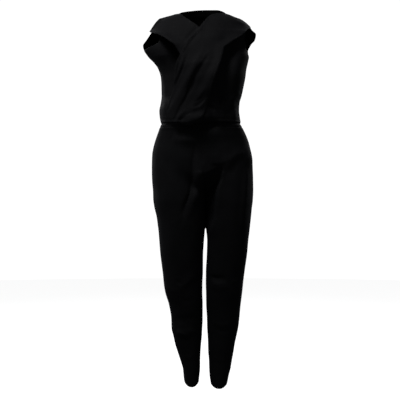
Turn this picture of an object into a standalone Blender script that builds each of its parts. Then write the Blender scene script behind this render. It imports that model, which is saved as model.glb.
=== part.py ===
"""A sleeveless jumpsuit with a crossover bodice and tapered trousers, filled out as if worn.

Metres, +Z up. The front faces -Y and the wearer's right side is at -X. The origin lies midway between
the shoulders, at the height of the shoulder seams. Tables are in millimetres, a row for each section.

Every piece is a thin wall laid on one of two forms: the bodice form, a stack of rounded rings, and
the trouser form, whose rings part at the crotch into two legs. A piece is a patch on its form,
lifted by the layers under it, raised and sunk by its folds, and given a wall inwards.
"""

import math
from collections import namedtuple

import bpy
import numpy as np

MM = 0.001
WALL = 1.5 * MM
HALF_SEAM = 0.15 * MM  # pieces that are sewn together end this far from the seam line
LAYER = 3.3 * MM  # how far a piece that lies on another one is moved out

ROUNDNESS = 2.2  # 2 is an ellipse, more is squarer
INNER_THIGH_ROUNDNESS = 3  # the flat inner side of a leg just under the crotch
INNER_THIGH_DEEP = 260  # over this height below the crotch the inner side turns round

WAIST_SEAM = -398  # the bodice ends here
CASING_DEEP = 13
TROUSER_TOP = WAIST_SEAM - CASING_DEEP
CROTCH = -665
RISE = {"front": 88, "back": 112}  # height over which the centre seam curves in to the crotch
RISE_BEND = 1.7  # 1 is a straight seam, more is rounder
LEGS_PART = (-490, -690)  # the trouser rings turn from one hip ring to two leg rings between these

BACK_NECK = ((90, 11), (98, 19), (112, 28), (135, 34), (180, 36))  # (turn, height) of the neck edge
CENTRE_BACK = ((36, 11), (-398, -4.5))  # (height, x) of the centre back seam's two ends

# The bodice form. side_y is where front and back meet, at the sides and along the shoulders.
BODICE_COLUMNS = "height right left front back side_y"
BODICE_ROWS = (
    (-398, -149, 140, -92, 77, -6),
    (-388, -153, 142, -114, 88, -6),
    (-374, -156, 140, -121, 91, -6),
    (-348, -158, 137, -122, 92, -6),
    (-322, -153, 138, -124, 92, -6),
    (-292, -149, 146, -129, 94, -6),
    (-259, -149, 153, -135, 97, -6),
    (-226, -151, 160, -139, 101, -5),
    (-192, -162, 165, -136, 104, -2),
    (-170, -177, 170, -129, 106, 0),
    (-148, -198, 174, -121, 107, 2),
    (-126, -214, 172, -113, 106, 4),
    (-104, -221, 182, -104, 104, 6),
    (-81, -208, 197, -94, 101, 8),
    (-62, -195, 199, -85, 98, 9),
    (-48, -187, 187, -78, 95, 10),
    (-26, -173, 172, -65, 89, 12),
    (-11, -160, 155, -54, 83, 12),
    (0, -136, 128, -43, 78, 12),
    (7, -111, 108, -34, 73, 12),
    (12, -92, 92, -26, 69, 12),
    (22, -78, 82, -18, 66, 14),
    (29, -64, 77, -12, 64, 16),
    (36, -50, 72, -5, 62, 18),
)

# The trouser form above the crotch. centre is the centre front and centre back seam.
HIP_COLUMNS = "height right left centre front back side_y"
HIP_ROWS = (
    (-398, -149, 140, -4, -92, 77, -6),
    (-411, -155, 148, -3, -93, 79, -6),
    (-440, -166, 162, -2, -100, 87, -5),
    (-463, -174, 171, -1, -103, 93, -4),
    (-485, -180, 177, 0, -105, 100, -3),
    (-507, -184, 183, 1, -106, 107, -1),
    (-529, -185, 187, 2, -107, 114, 1),
    (-562, -187, 188, 3, -107, 122, 4),
    (-596, -186, 189, 5, -105, 125, 7),
    (-640, -182, 189, 8, -101, 121, 10),
    (-685, -178, 187, 11, -98, 112, 11),
    (-740, -168, 181, 13, -96, 99, 8),
)

# The legs. The outer and inner edge of each, as the front view has them, and their depth.
LEG_COLUMNS = "height right_out right_in left_in left_out front back seam_y"
LEG_ROWS = (
    (-400, -149, -4, -4, 140, -92, 77, -6),
    (-463, -174, -1, -1, 171, -103, 93, -4),
    (-529, -185, 2, 2, 187, -107, 114, 1),
    (-596, -186, 5, 5, 189, -105, 125, 7),
    (-640, -182, 8, 8, 189, -101, 121, 10),
    (-665, -180.5, 9.5, 9.5, 188, -99, 117, 11),
    (-672, -180, 9.8, 9.8, 187.7, -98.7, 115, 11),
    (-686, -178.2, 9.8, 11.4, 187, -98, 112, 11),
    (-707, -174.5, 10.3, 13, 184.5, -97, 106, 10),
    (-740, -167.5, 10.8, 14, 181.5, -96, 98, 8),
    (-781, -163, 10.8, 15, 177, -94, 88, 4),
    (-825, -158.5, 7.5, 19, 171.5, -91, 80, 0),
    (-884, -152.5, 4, 17.5, 166, -85, 71, -4),
    (-943, -145.5, 3.5, 14.2, 157, -79, 63, -6),
    (-985, -141, 1.5, 14, 151, -75, 60, -6),
    (-1020, -134, 1.2, 15, 147.5, -71, 61, -4),
    (-1062, -122, 2.6, 15.5, 143, -64, 67, 1),
    (-1121, -113.5, 2.5, 18.5, 137, -55, 74, 7),
    (-1151, -112, 1, 19, 133, -51, 74, 9),
    (-1180, -105, -0.5, 21, 127.5, -48, 72, 10),
    (-1210, -99, -3.3, 22.2, 122, -46, 69, 10),
    (-1240, -90, -5.5, 23, 117.5, -44, 64, 9),
    (-1269, -80.5, -6.6, 25.5, 111.5, -42, 60, 8),
    (-1299, -70.5, -7, 26.4, 105.5, -41, 55, 7),
    (-1328, -66.5, -9.8, 28.3, 97.5, -40, 52, 6),
    (-1352, -64, -12, 32, 93, -40, 51, 6),
    (-1375, -62, -13, 34, 91, -40, 51, 6),
)
HEM = {"right": -1346, "left": -1352}
HEM_DIP = 17  # the hem hangs lower at the front
HEM_DIP_FROM = -1290  # the rows above this one stay level

# Patches on the bodice form, from the shoulder seam down. Each row crosses a piece from its inner
# to its outer edge: (inner x, inner height, outer x, outer height). An x past the ring's end means
# the shoulder line or the side seam.
WRAP_OVER_ROWS = (
    (130, 10, 170, -6),
    (80, 9.5, 175, -13),
    (58, 7, 180, -22),
    (37, 2, 180, -32),
    (22, -10, 162, -56),
    (8, -28, 146, -76),
    (-7, -51, 124, -92),
    (-33, -85, 98, -112),
    (-54, -114, 80, -127),
    (-74, -147, 73, -152),
    (-91, -190, 64, -185),
    (-96, -228, 51, -222),
    (-99, -272, 36, -268),
    (-112, -314, 24, -312),
    (-125, -348, 14, -348),
    (-130, -374, 4, -374),
    (-131, -388, 0, -388),
    (-131, -396.5, 0, -396.5),
)
WRAP_UNDER_ROWS = (
    (-130, 10, -180, -8),
    (-88, 9, -185, -20),
    (-74, 3, -190, -34),
    (-58, -12, -195, -52),
    (-33, -32, -161, -76),
    (-7, -51, -122, -102),
    (20, -82, -95, -126),
    (44, -120, -80, -150),
    (55, -165, -68, -190),
    (52, -215, -58, -236),
    (46, -262, -46, -280),
    (54, -308, -32, -318),
    (76, -348, -18, -348),
    (95, -374, -10, -374),
    (100, -388, -8, -388),
    (102, -396.5, -7, -396.5),
)
FRONT_ROWS = {
    "right": (
        (-130, 10, -180, -8),
        (-100, 6, -172, -22),
        (-94, -6, -162, -40),
        (-86, -28, -153, -62),
        (-78, -54, -151, -84),
        (-70, -84, -158, -102),
        (-64, -108, -176, -113),
        (-58, -128, -202, -123),
        (-56, -146, -240, -133),
        (-54, -172, -240, -164),
        (-52, -204, -240, -200),
        (-50, -240, -240, -238),
        (-50, -276, -240, -276),
        (-50, -314, -240, -314),
        (-50, -348, -240, -348),
        (-50, -374, -240, -374),
        (-50, -388, -240, -388),
        (-50, -398, -240, -398),
    ),
    "left": (
        (130, 10, 170, -6),
        (104, 5, 166, -20),
        (94, -8, 161, -38),
        (80, -32, 157, -60),
        (62, -60, 156, -84),
        (46, -88, 158, -108),
        (34, -114, 163, -128),
        (26, -136, 171, -143),
        (20, -158, 230, -154),
        (12, -184, 230, -180),
        (4, -212, 230, -210),
        (-4, -244, 230, -243),
        (-10, -276, 230, -276),
        (-14, -314, 230, -314),
        (-18, -348, 230, -348),
        (-20, -374, 230, -374),
        (-20, -388, 230, -388),
        (-20, -398, 230, -398),
    ),
}

# The backs, from the top edge down: (outer turn, outer height, height at centre back). The outer
# turn is 90 at the shoulder and side seams and more at the back edge of the armhole.
BACK_ROWS = {
    "right": (
        (90, -8, 36),
        (92, -16, 30),
        (94, -32, 14),
        (96, -56, -12),
        (97, -84, -46),
        (96, -108, -82),
        (94, -123, -112),
        (90, -133, -138),
        (90, -164, -168),
        (90, -200, -202),
        (90, -238, -238),
        (90, -276, -276),
        (90, -314, -314),
        (90, -348, -348),
        (90, -374, -374),
        (90, -388, -388),
        (90, -398, -398),
    ),
    "left": (
        (90, -6, 36),
        (92, -14, 30),
        (94, -30, 14),
        (96, -56, -12),
        (97, -86, -46),
        (96, -114, -82),
        (94, -138, -112),
        (90, -154, -138),
        (90, -180, -168),
        (90, -210, -202),
        (90, -243, -238),
        (90, -276, -276),
        (90, -314, -314),
        (90, -348, -348),
        (90, -374, -374),
        (90, -388, -388),
        (90, -398, -398),
    ),
}
BACK_NECK_SHARE = 0.6  # of a back's top edge, from the centre seam; the rest is shoulder seam
NECK_BEND_DEEP = 148  # over this height the bend of the back's top edge fades out
YOKE = (-165, -115)  # rows are even in turn below this, and even in x above it

# Folds: soft ridges (out above 0) and troughs (out below 0) along a curve through three places.
Fold = namedtuple("Fold", "start middle end out width")
FOLD_ENDS = 0.22  # the share of a fold, at either end, over which it dies away
SIDE_FADE = 10  # the turn, in degrees, over which folds die away towards the side seams
CENTRE_BACK_FADE = 8  # the same towards the centre back seam
TROUSER_FADE = 0.1  # the share of a trouser piece over which folds die away towards its seams
WRAP_OVER_FOLDS = (
    Fold((10, -128), (-58, -255), (-118, -382), 6.0, 13),
    Fold((24, -160), (-44, -275), (-104, -376), -1.5, 11),
    Fold((42, -190), (0, -290), (-62, -384), 4.5, 15),
    Fold((-70, -150), (-88, -220), (-112, -330), 3.5, 11),
)
FRONT_FOLDS = (
    Fold((-180, -140), (-140, -220), (-124, -330), 3.0, 14),
    Fold((150, -165), (112, -240), (92, -330), 3.0, 14),
    Fold((104, -290), (112, -345), (116, -394), 3.5, 13),
)
BACK_FOLDS = {
    "right": (
        Fold((-150, -150), (-112, -230), (-96, -330), 3.0, 14),
        Fold((-70, -290), (-76, -345), (-80, -394), 4.0, 12),
        Fold((-26, -320), (-30, -360), (-32, -394), 3.5, 10),
    ),
    "left": (
        Fold((146, -165), (106, -240), (92, -330), 3.0, 14),
        Fold((60, -300), (68, -350), (72, -394), 4.0, 12),
        Fold((110, -310), (116, -355), (118, -394), 3.5, 10),
    ),
}
TROUSER_FOLDS = {
    ("front", "right"): (
        Fold((-14, -500), (-28, -595), (-52, -690), 4.0, 16),
        Fold((-30, -470), (-44, -610), (-72, -760), -3.0, 12),
        Fold((-6, -590), (-20, -640), (-22, -720), -4.0, 14),
        Fold((-24, -930), (-66, -985), (-84, -1000), 2.5, 16),
        Fold((-20, -1150), (-60, -1162), (-96, -1160), 4.0, 14),
        Fold((-24, -1100), (-62, -1112), (-104, -1106), -2.0, 13),
    ),
    ("front", "left"): (
        Fold((74, -560), (56, -640), (40, -735), 4.0, 15),
        Fold((82, -575), (116, -520), (160, -506), 3.5, 17),
        Fold((92, -600), (126, -545), (166, -530), -3.0, 16),
        Fold((166, -550), (156, -680), (146, -810), 3.0, 15),
        Fold((26, -958), (62, -966), (92, -962), -2.5, 13),
        Fold((28, -985), (64, -994), (100, -986), 2.5, 15),
    ),
    ("back", "right"): (
        Fold((-20, -640), (-72, -690), (-130, -700), -3.5, 16),
        Fold((-24, -680), (-70, -728), (-126, -744), 3.0, 17),
        Fold((-16, -955), (-60, -975), (-116, -958), -3.0, 14),
        Fold((-14, -992), (-62, -1004), (-110, -988), 3.0, 15),
    ),
    ("back", "left"): (
        Fold((36, -640), (88, -688), (142, -704), -3.5, 16),
        Fold((38, -684), (84, -730), (138, -742), 3.0, 17),
        Fold((34, -950), (78, -972), (128, -962), -3.0, 14),
        Fold((36, -990), (80, -1006), (124, -992), 3.0, 15),
    ),
}

ROW_GAP = 16 * MM  # rows of the bodice that lie further apart than this get one between them
BODICE_COLUMNS_ACROSS = 11
BACK_COLUMNS_ACROSS = 12
WRAP_COLUMNS_ACROSS = 12
TROUSER_COLUMNS_ACROSS = 12
CASING_COLUMNS_ROUND = 48

CLOTH_COLOUR = (0.011, 0.011, 0.013, 1)
CLOTH_ROUGHNESS = 0.8


# ---- curves and tables ----


def smooth(knots, values, at):
    """A curve through the knots that never swings past them, read at `at`; its ends run on straight."""
    step = np.diff(knots)
    slope = np.diff(values) / step
    before, after = slope[:-1], slope[1:]
    same_way = before * after > 0
    safe_before = np.where(same_way, before, 1)
    safe_after = np.where(same_way, after, 1)
    mean = 2 * safe_before * safe_after / (safe_before + safe_after)
    tangent = np.concatenate([slope[:1], np.where(same_way, mean, 0), slope[-1:]])
    at = np.asarray(at, float)
    i = np.clip(np.searchsorted(knots, at) - 1, 0, len(step) - 1)
    t = (at - knots[i]) / step[i]
    inside = np.clip(t, 0, 1)
    a, b = values[i], values[i + 1]
    bend = (
        (1 + 2 * inside) * (1 - inside) ** 2 * a
        + inside * (1 - inside) ** 2 * step[i] * tangent[i]
        + inside**2 * (3 - 2 * inside) * b
        - inside**2 * (1 - inside) * step[i] * tangent[i + 1]
    )
    past = (t - inside) * step[i]
    return bend + past * np.where(t < 0, tangent[i], tangent[i + 1])


class Table:
    """Rows joined by smooth curves. read(height) gives every column there, in metres."""

    def __init__(self, columns, rows):
        self.names = columns.split()[1:]
        ordered = np.array(sorted(rows), float) * MM
        self.heights = ordered[:, 0]
        self.values = ordered[:, 1:].T

    def read(self, height):
        found = [smooth(self.heights, column, height) for column in self.values]
        return namedtuple("Ring", self.names)(*found)


def ease(x):
    """0 below 0, 1 above 1, smooth between."""
    x = np.clip(x, 0, 1)
    return x * x * (3 - 2 * x)


def rounded(x, roundness):
    """A sine or cosine bent so that the ring it draws is rounder or squarer."""
    return np.sign(x) * np.abs(x) ** (2 / roundness)


BODICE = Table(BODICE_COLUMNS, BODICE_ROWS)
HIP = Table(HIP_COLUMNS, HIP_ROWS)
LEG = Table(LEG_COLUMNS, LEG_ROWS)


# ---- the two forms ----


def ring_point(ring, turn, height):
    """A point of a ring. turn goes from 0, front, by 90, the wearer's left, to 180, back."""
    middle = (ring.left + ring.right) / 2
    half = (ring.left - ring.right) / 2
    across = rounded(np.sin(np.radians(turn)), ROUNDNESS)
    forward = rounded(np.cos(np.radians(turn)), ROUNDNESS)
    deep = np.where(forward > 0, ring.side_y - ring.front, ring.back - ring.side_y)
    return np.stack([middle + half * across, ring.side_y - deep * forward, height], axis=-1)


def bodice_form(turn, height):
    return ring_point(BODICE.read(height), turn, height)


def casing_form(turn, height):
    """The waist, whose rings run on from the bodice's last one into the trousers' first."""
    return ring_point(HIP.read(height), turn, height)


def bodice_turn(x, height):
    """The turn on the front of the bodice form whose point has this x, or a side where it has none."""
    ring = BODICE.read(height)
    middle = (ring.left + ring.right) / 2
    half = (ring.left - ring.right) / 2
    share = np.clip((x - middle) / half, -1, 1)
    return np.degrees(np.arcsin(np.sign(share) * np.abs(share) ** (ROUNDNESS / 2)))


def end_share(height, face):
    """How far the inner edge of a trouser piece has come from the hip's surface, 0, to the inseam, 1."""
    above = np.clip((height / MM - CROTCH) / RISE[face], 0, 1)
    return (1 - above) ** RISE_BEND


def trouser_form(side, face, share, height):
    """A point of the trouser form. share goes from 0, the outseam, to 1, the centre seam or inseam."""
    hip = HIP.read(height)
    leg = LEG.read(height)
    outward = -1 if side == "right" else 1
    facing = -1 if face == "front" else 1
    hip_out = hip.right if side == "right" else hip.left
    leg_out = leg.right_out if side == "right" else leg.left_out
    leg_in = leg.right_in if side == "right" else leg.left_in
    hip_deep = (hip.side_y - hip.front) if face == "front" else (hip.back - hip.side_y)
    leg_deep = (leg.seam_y - leg.front) if face == "front" else (leg.back - leg.seam_y)

    from_centre = np.radians(90 * (1 - share))
    hip_x = hip.centre + (hip_out - hip.centre) * rounded(np.sin(from_centre), ROUNDNESS)
    hip_y = hip.side_y + facing * hip_deep * rounded(np.cos(from_centre), ROUNDNESS)

    round_leg = np.radians(180 * share)
    flat = 1 - ease((CROTCH - height / MM) / INNER_THIGH_DEEP)
    inner = ROUNDNESS + (INNER_THIGH_ROUNDNESS - ROUNDNESS) * flat
    roundness = np.where(share > 0.5, inner, ROUNDNESS)
    middle = (leg_out + leg_in) / 2
    half = np.abs(leg_out - leg_in) / 2
    leg_x = middle + outward * half * rounded(np.cos(round_leg), roundness)
    leg_y = leg.seam_y + facing * leg_deep * rounded(np.sin(round_leg), roundness)

    top, bottom = LEGS_PART
    body = ease((top - height / MM) / (top - bottom))
    blend = body + (end_share(height, face) - body) * ease((share - 0.5) / 0.5)
    return np.stack(
        [hip_x + (leg_x - hip_x) * blend, hip_y + (leg_y - hip_y) * blend, height], axis=-1
    )


def outward_normal(form, across, height):
    """The form's normal at each point, from how the form runs on around it.

    Across has to grow anticlockwise, seen from above.
    """
    nudge, rise = np.ptp(across) / 500, 0.5 * MM
    along = form(across + nudge, height) - form(across - nudge, height)
    up = form(across, height + rise) - form(across, height - rise)
    normal = np.cross(along, up)
    return normal / np.linalg.norm(normal, axis=-1, keepdims=True)


# ---- folds ----


def fold_height(folds, points):
    """How far the folds raise or sink each point, from its place seen from the front."""
    place = points[..., [0, 2]] / MM
    total = np.zeros(place.shape[:-1])
    along = np.linspace(0, 1, 33)
    for fold in folds:
        start, middle, end = (np.array(p, float) for p in (fold.start, fold.middle, fold.end))
        pull = 2 * middle - (start + end) / 2
        t = along[:, None]
        curve = (1 - t) ** 2 * start + 2 * t * (1 - t) * pull + t**2 * end
        apart = np.linalg.norm(place[..., None, :] - curve, axis=-1)
        fade = ease(np.minimum(along, 1 - along) / FOLD_ENDS)[apart.argmin(axis=-1)]
        total += fold.out * fade * np.exp(-((apart.min(axis=-1) / fold.width) ** 2))
    return total * MM


# ---- walls ----


def cloth_material():
    material = bpy.data.materials.new("black_crepe")
    material.use_nodes = True
    shader = material.node_tree.nodes["Principled BSDF"]
    shader.inputs["Base Color"].default_value = CLOTH_COLOUR
    shader.inputs["Roughness"].default_value = CLOTH_ROUGHNESS
    shader.inputs["Metallic"].default_value = 0
    return material


def pull_in(skin, closed):
    """The skin with its edges moved in by half a seam's gap, each towards the points beside it."""

    def towards(edge, beside):
        way = beside - edge
        return edge + HALF_SEAM * way / np.linalg.norm(way, axis=-1, keepdims=True)

    skin = skin.copy()
    skin[0], skin[-1] = towards(skin[0], skin[1]), towards(skin[-1], skin[-2])
    if not closed:
        skin[:, 0] = towards(skin[:, 0], skin[:, 1])
        skin[:, -1] = towards(skin[:, -1], skin[:, -2])
    return skin


def wall_faces(rows, columns, closed):
    """The faces of a thin wall: its outer skin, its inner skin and the edges between them.

    Both skins are grids of points, row by row from the top and anticlockwise from above, and the
    inner one's points come after the outer one's. A closed wall's last column meets its first.
    """
    behind = rows * columns
    spans = columns if closed else columns - 1
    faces = []

    def point(row, column):
        return row * columns + column % columns

    def edge(a, b):
        faces.append((a, b, b + behind, a + behind))

    for row in range(rows - 1):
        for column in range(spans):
            a, b = point(row, column), point(row, column + 1)
            c, d = point(row + 1, column + 1), point(row + 1, column)
            faces.append((a, d, c, b))
            faces.append((a + behind, b + behind, c + behind, d + behind))
    for column in range(spans):
        edge(point(0, column), point(0, column + 1))
        edge(point(rows - 1, column + 1), point(rows - 1, column))
    if not closed:
        for row in range(rows - 1):
            edge(point(row + 1, 0), point(row, 0))
            edge(point(row, columns - 1), point(row + 1, columns - 1))
    return faces


def cloth_piece(name, form, across, height, shared, folds=(), fade=1, layers=0, closed=False):
    """A piece of cloth: a wall over a grid of places on a form. shared holds its material and parent."""
    if not closed and across[-1, 0] > across[-1, -1]:
        across, height = across[:, ::-1], height[:, ::-1]
        fade = fade if np.isscalar(fade) else fade[:, ::-1]
    points = form(across, height)
    normal = outward_normal(form, across, height)
    outer = points + normal * (layers * LAYER + fade * fold_height(folds, points))[..., None]
    skins = [pull_in(outer, closed), pull_in(outer - normal * WALL, closed)]
    rows, columns = across.shape
    mesh = bpy.data.meshes.new(name)
    mesh.from_pydata(np.concatenate(skins).reshape(-1, 3).tolist(), [], wall_faces(rows, columns, closed))
    mesh.shade_smooth()
    mesh.set_sharp_from_angle(angle=math.radians(50))
    mesh.materials.append(shared.material)
    piece = bpy.data.objects.new(name, mesh)
    piece.parent = shared.parent
    bpy.context.scene.collection.objects.link(piece)
    return piece


# ---- bodice ----


def side_fade(turn):
    """1 on a piece and 0 at its side and centre back seams, so that folds leave the seams in line."""
    from_side = np.abs(90 - np.abs(turn))
    return ease(from_side / SIDE_FADE) * ease((180 - np.abs(turn)) / CENTRE_BACK_FADE)


def in_yoke(height):
    """0 below the yoke and 1 in it."""
    bottom, top = YOKE
    return ease((height / MM - bottom) / (top - bottom))


def close_rows(table, heights):
    """The table's columns, with a row more between any two that lie far apart in height."""
    index = np.arange(len(table))
    apart = np.abs(np.diff(table[:, heights], axis=0)).max(axis=1)
    at = np.sort(np.concatenate([index, index[:-1][apart > ROW_GAP] + 0.5]))
    return [smooth(index, column, at)[:, None] for column in table.T]


def patch_edges(rows):
    """The inner and outer edge of a patch as columns of (turn, height), on smooth curves."""
    table = np.array(rows, float)
    table[:, [1, 3]] *= MM
    for x, height in ((0, 1), (2, 3)):
        table[:, x] = bodice_turn(table[:, x] * MM, table[:, height])
    return close_rows(table, [1, 3])


def front_grid(rows, columns):
    """(turn, height) of a patch on the front, straight from edge to edge.

    In the yoke a row's points are even in x, except along the shoulder seam, which has one x only.
    """
    inner_turn, inner_height, outer_turn, outer_height = patch_edges(rows)
    share = np.linspace(0, 1, columns)
    height = inner_height + (outer_height - inner_height) * share
    even_turn = inner_turn + (outer_turn - inner_turn) * share
    inner_x = bodice_form(inner_turn, inner_height)[..., 0]
    outer_x = bodice_form(outer_turn, outer_height)[..., 0]
    even_x = bodice_turn(inner_x + (outer_x - inner_x) * share, height)
    use_x = in_yoke(height)
    use_x[0] = 0
    return even_turn + (even_x - even_turn) * use_x, height


def back_grid(side, columns):
    """(turn, height) of a back, whose top edge is the back neck and then the shoulder seam."""
    outward = -1 if side == "right" else 1
    table = np.array(BACK_ROWS[side], float)
    table[:, [1, 2]] *= MM
    outer_turn, outer_height, centre_height = close_rows(table, [1, 2])
    share = np.linspace(0, 1, columns)
    height = centre_height + (outer_height - centre_height) * share
    outer = bodice_form(outward * outer_turn, outer_height)[..., 0]
    (top, top_seam_x), (bottom, bottom_seam_x) = np.array(CENTRE_BACK) * MM
    down = (top - centre_height) / (top - bottom)
    seam_x = top_seam_x + (bottom_seam_x - top_seam_x) * down
    seam_turn = outward * 180 - bodice_turn(seam_x, centre_height)
    across_x = seam_x + (outer - seam_x) * share

    neck_turn, neck_height = np.array(BACK_NECK, float).T
    neck = share <= BACK_NECK_SHARE
    top_turn = np.where(neck, 180 - 90 * share / BACK_NECK_SHARE, 90)
    neck_height = neck_height * MM
    past_neck = (share - BACK_NECK_SHARE) / (1 - BACK_NECK_SHARE)
    shoulder = neck_height[0] + (outer_height[0] - neck_height[0]) * past_neck
    top_height = np.where(neck, smooth(neck_turn, neck_height, top_turn), shoulder)
    top_x = bodice_form(outward * top_turn, top_height)[..., 0]

    bend = ease(1 - (top - centre_height) / (NECK_BEND_DEEP * MM))
    across_x = across_x + bend * (top_x - across_x[0])
    height = height + bend * (top_height - height[0])
    even_x = outward * 180 - bodice_turn(across_x, height)
    even_turn = seam_turn + (outward * outer_turn - seam_turn) * share
    turn = even_turn + (even_x - even_turn) * in_yoke(height)
    turn[0] = outward * top_turn
    return turn, height


def build_bodice(shared):
    for side in ("right", "left"):
        turn, height = front_grid(FRONT_ROWS[side], BODICE_COLUMNS_ACROSS)
        fade = side_fade(turn)
        cloth_piece(f"bodice_front_{side}", bodice_form, turn, height, shared, FRONT_FOLDS, fade)
        turn, height = back_grid(side, BACK_COLUMNS_ACROSS)
        fade = side_fade(turn)
        cloth_piece(f"bodice_back_{side}", bodice_form, turn, height, shared, BACK_FOLDS[side], fade)


def build_wraps(shared):
    """The two bands, which lie on the fronts and follow their folds. The over one has its own too."""
    turn, height = front_grid(WRAP_UNDER_ROWS, WRAP_COLUMNS_ACROSS)
    fade = side_fade(turn)
    cloth_piece("wrap_under", bodice_form, turn, height, shared, FRONT_FOLDS, fade, layers=1)
    turn, height = front_grid(WRAP_OVER_ROWS, WRAP_COLUMNS_ACROSS)
    folds = FRONT_FOLDS + WRAP_OVER_FOLDS
    fade = side_fade(turn)
    cloth_piece("wrap_over", bodice_form, turn, height, shared, folds, fade, layers=2)


def build_casing(shared):
    turn = np.arange(CASING_COLUMNS_ROUND) * 360 / CASING_COLUMNS_ROUND
    height = np.array([WAIST_SEAM, TROUSER_TOP], float)[:, None] * MM
    across, height = np.broadcast_arrays(turn, height)
    cloth_piece("waist_casing", casing_form, across, height.copy(), shared, closed=True)


# ---- trousers ----


def trouser_heights():
    """The heights of a trouser piece's rows: closer together where the centre seam curves in."""
    rise = [CROTCH + RISE["front"] * share for share in (0.85, 0.65, 0.47, 0.31, 0.16, 0)]
    above = [TROUSER_TOP, -440, -470, -500, -530, -558]
    legs = [row[0] for row in LEG_ROWS if CROTCH > row[0] > HEM_DIP_FROM]
    return np.array(above + rise + legs)


def build_trousers(shared):
    for side in ("right", "left"):
        levels = np.concatenate([trouser_heights(), np.linspace(HEM_DIP_FROM, HEM[side], 4)])
        for face in ("front", "back"):
            outward = -1 if side == "right" else 1
            anticlockwise = outward if face == "back" else -outward

            def form(across, height, side=side, face=face, anticlockwise=anticlockwise):
                return trouser_form(side, face, across * anticlockwise, height)

            share = even_shares(side, face, levels * MM, TROUSER_COLUMNS_ACROSS)
            height = np.broadcast_to(levels[:, None], share.shape).copy()
            if face == "front":
                hang = ease((HEM_DIP_FROM - height) / (HEM_DIP_FROM - HEM[side]))
                height -= HEM_DIP * hang * np.sin(np.pi * share) ** 1.5
            fade = ease(share / TROUSER_FADE) * ease((1 - share) / TROUSER_FADE)
            folds = TROUSER_FOLDS[face, side]
            name = f"trouser_{face}_{side}"
            cloth_piece(name, form, share * anticlockwise, height * MM, shared, folds, fade)


def even_shares(side, face, heights, columns):
    """For each height, the shares that part the ring there into equal lengths."""
    fine = np.linspace(0, 1, 241)
    rows = []
    for height in heights:
        ring = trouser_form(side, face, fine, np.full_like(fine, height))
        length = np.concatenate([[0], np.cumsum(np.linalg.norm(np.diff(ring, axis=0), axis=1))])
        rows.append(np.interp(np.linspace(0, length[-1], columns), length, fine))
    return np.array(rows)


def main():
    for old in list(bpy.data.objects):
        bpy.data.objects.remove(old)
    garment = bpy.data.objects.new("jumpsuit", None)
    bpy.context.scene.collection.objects.link(garment)
    shared = namedtuple("Shared", "material parent")(cloth_material(), garment)
    build_bodice(shared)
    build_wraps(shared)
    build_casing(shared)
    build_trousers(shared)


main()
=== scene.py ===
"""The looks of the jumpsuit: every cut piece as a thin shell of black crepe on its solid's form.

Metres, +Z up, the front faces -Y and the wearer's right side is at -X. Tables are in millimetres. The
two forms, the pieces' edges and their large folds are the solids' own, worked out here with many more
points, and the creases, hems, seams and stitches are added to them.
"""

import math
from collections import namedtuple

import bpy
import numpy as np
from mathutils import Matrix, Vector


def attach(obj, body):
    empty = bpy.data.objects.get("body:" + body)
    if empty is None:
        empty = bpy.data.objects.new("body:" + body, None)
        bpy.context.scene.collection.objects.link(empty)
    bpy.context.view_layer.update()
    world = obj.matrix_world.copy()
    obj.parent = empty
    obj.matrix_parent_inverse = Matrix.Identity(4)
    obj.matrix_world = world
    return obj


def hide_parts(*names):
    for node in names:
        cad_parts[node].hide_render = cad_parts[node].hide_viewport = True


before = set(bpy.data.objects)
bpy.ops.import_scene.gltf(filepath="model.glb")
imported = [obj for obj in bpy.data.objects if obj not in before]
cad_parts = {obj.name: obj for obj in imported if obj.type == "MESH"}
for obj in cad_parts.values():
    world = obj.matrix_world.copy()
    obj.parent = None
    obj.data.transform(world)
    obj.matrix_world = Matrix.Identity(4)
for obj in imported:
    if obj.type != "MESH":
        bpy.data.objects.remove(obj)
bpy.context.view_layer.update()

MM = 0.001
CLOTH = 0.9 * MM  # the shell's thickness
SEAM_BITE = 0.3 * MM  # how far each piece runs past a seam line, where the solids keep apart
LAYER = 3.3 * MM  # how far a piece that lies on another one is moved out
SPACING = 3.0 * MM  # about how far apart the rows of a shell are

SIDES = ("right", "left")
FACES = ("front", "back")
ROUNDNESS = 2.2
INNER_THIGH_ROUNDNESS = 3
INNER_THIGH_DEEP = 260
WAIST_SEAM = -398
TROUSER_TOP = -411
CROTCH = -665
RISE = {"front": 88, "back": 112}
RISE_BEND = 1.7
LEGS_PART = (-490, -690)  # between these heights the hip's rings go over into the legs'
HEM = {"right": -1346, "left": -1352}
HEM_DIP = 17  # the front of the hem lies this much lower than its sides
HEM_DIP_FROM = -1290
HEM_DIP_BEND = 1.5
CENTRE_BACK = ((36, 11), (-398, -4.5))
NECK_BEND_DEEP = 148
YOKE = (-165, -115)  # between these heights the columns change from even turns to even x
SHOULDER_FADE = 12
ARMHOLE_FREE = (-128, -116)  # between these heights the side fronts' outer edges come free


# ---- the tables, as text ----


def sections(text):
    """The lines of a text, under the one-word headings that stand above them."""
    found = {}
    for line in text.strip().splitlines():
        if " " in line:
            found[heading].append(line)
        else:
            heading = line
            found[heading] = []
    return found


def numbers(lines):
    return np.array([line.split() for line in lines], float)


def read_paths(text, kind):
    """Folds or creases. A line holds a path's places x z, then a colon and what else kind says."""
    found = sections(text)
    for lines in found.values():
        for i, line in enumerate(lines):
            places, sizes = line.split(":")
            lines[i] = kind(numbers(places.split(",")), *numbers([sizes])[0])
    return found


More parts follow.
